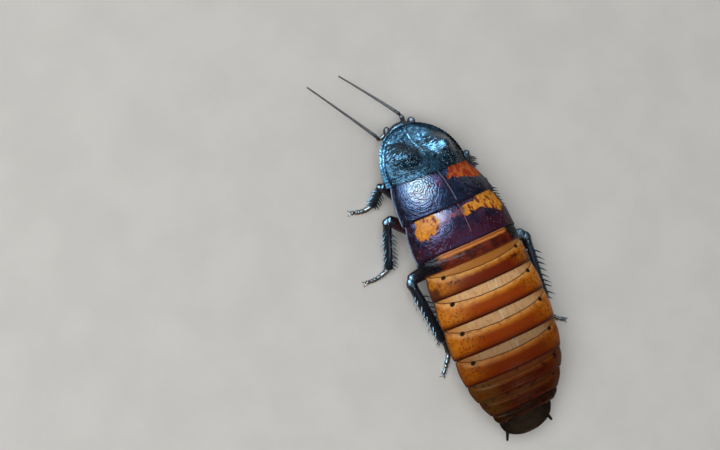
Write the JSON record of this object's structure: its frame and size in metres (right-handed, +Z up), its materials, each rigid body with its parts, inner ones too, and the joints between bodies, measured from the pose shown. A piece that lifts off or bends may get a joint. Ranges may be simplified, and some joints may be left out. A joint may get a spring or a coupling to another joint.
{
  "type": "hissing cockroach model",
  "caption": "Life-size still model of a wingless hissing cockroach standing on six legs, with horned shield, banded abdomen, spined shins and long antennae.",
  "frame": {"origin": "on the floor, under the middle of the whole animal's box", "axes": "+X to the animal's left, +Y from its head to its tail, +Z up"},
  "size_m": [0.0378, 0.0818, 0.0145],
  "materials": {
    "black_shell": "glossy blue-black shell with fine pits and wrinkles",
    "purple_shell": "glossy purple-black shell with orange patches",
    "maroon_plate": "glossy maroon plate with a golden front edge",
    "amber_plate": "glossy amber plate, straw-coloured in front and red-brown behind",
    "brown_plate": "glossy brown, slightly translucent plate",
    "dark_plate": "glossy near-black brown plate",
    "underside": "satin red-brown body underside",
    "leg": "glossy black leg, reddish in thin places",
    "foot": "dark brown foot with pale pads",
    "eye": "smooth dark eye",
    "antenna": "dark brown, finely ringed feeler"
  },
  "bodies": {
    "root": {"pronotum": "black_shell", "mesonotum": "purple_shell", "metanotum": "purple_shell", "prothorax": "underside", "mesothorax": "underside", "metathorax": "underside", "abdomen_1": "maroon_plate", "abdomen_2": "amber_plate", "abdomen_3": "amber_plate", "abdomen_4": "amber_plate", "abdomen_5": "amber_plate", "abdomen_6": "brown_plate", "abdomen_7": "brown_plate", "abdomen_8": "dark_plate", "supra_anal_plate": "dark_plate", "cercus_left": "dark_plate", "cercus_right": "dark_plate", "head": "black_shell", "eye_left": "eye", "eye_right": "eye", "palp_left": "leg", "palp_right": "leg", "antenna_left": "antenna", "antenna_right": "antenna", "coxa_fore_left": "leg", "coxa_mid_left": "leg", "coxa_hind_left": "leg", "coxa_fore_right": "leg", "coxa_mid_right": "leg", "coxa_hind_right": "leg", "femur_fore_left": "leg", "femur_mid_left": "leg", "femur_hind_left": "leg", "femur_fore_right": "leg", "femur_mid_right": "leg", "femur_hind_right": "leg", "tibia_fore_left": "leg", "tibia_mid_left": "leg", "tibia_hind_left": "leg", "tibia_fore_right": "leg", "tibia_mid_right": "leg", "tibia_hind_right": "leg", "tarsus_fore_left": "foot", "tarsus_mid_left": "foot", "tarsus_hind_left": "foot", "tarsus_fore_right": "foot", "tarsus_mid_right": "foot", "tarsus_hind_right": "foot"}
  },
  "joints": []
}
